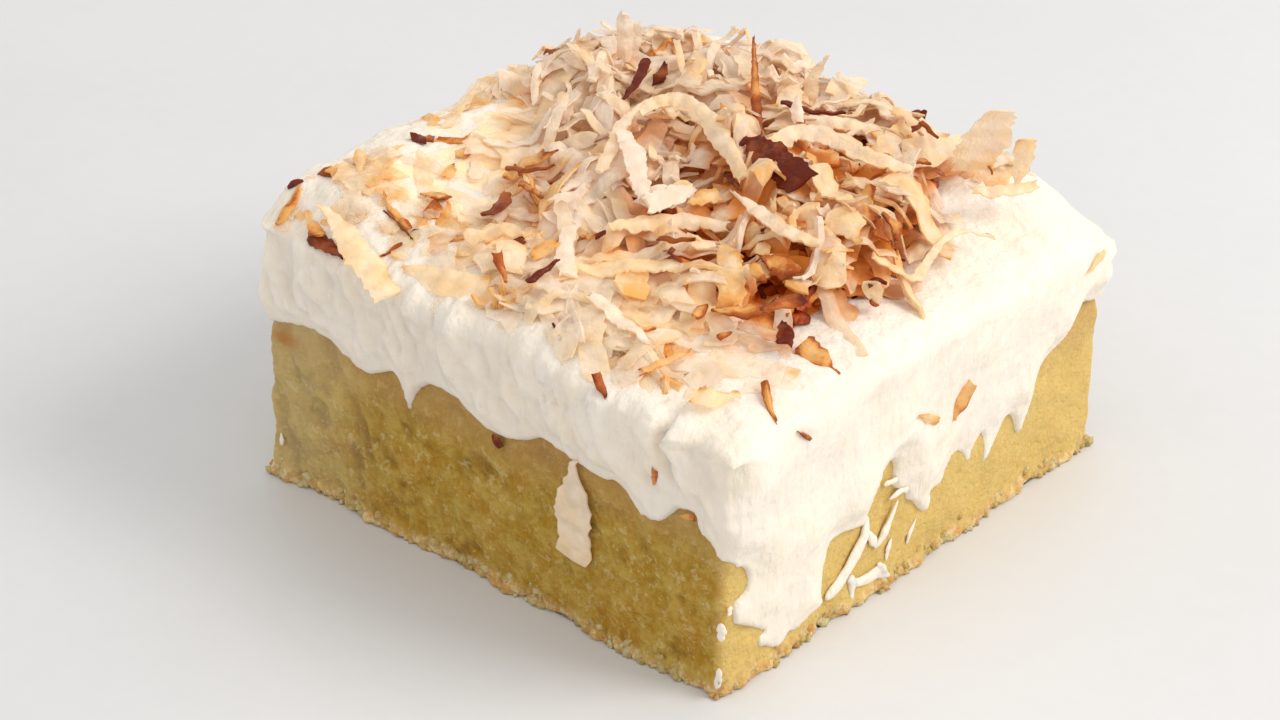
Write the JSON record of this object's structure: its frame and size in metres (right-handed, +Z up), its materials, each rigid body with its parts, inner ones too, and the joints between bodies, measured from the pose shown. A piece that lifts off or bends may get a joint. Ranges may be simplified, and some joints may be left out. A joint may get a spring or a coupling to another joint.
{
  "type": "tres leches cake slice",
  "caption": "Square slice of soaked yellow sponge cake under a thick whipped cream layer that drips down the sides, topped with a heap of toasted coconut shreds.",
  "frame": {"origin": "middle of the bounding box's footprint, on the surface that the slice stands on", "axes": "+Z up; -Y is the clean knife-cut side, +X is the side that the cream was dragged down"},
  "size_m": [0.0782, 0.08, 0.0511],
  "materials": {
    "sponge": "moist, fine-pored yellow crumb with a tan baked skin at the bottom",
    "cream": "soft whipped cream, white with a faint warm tint, dragged and ragged at its lower edge",
    "coconut": "shredded coconut, from translucent white to golden and brown at the edges"
  },
  "bodies": {
    "root": {"sponge": "sponge", "cream": "cream", "coconut": "coconut"}
  },
  "joints": []
}
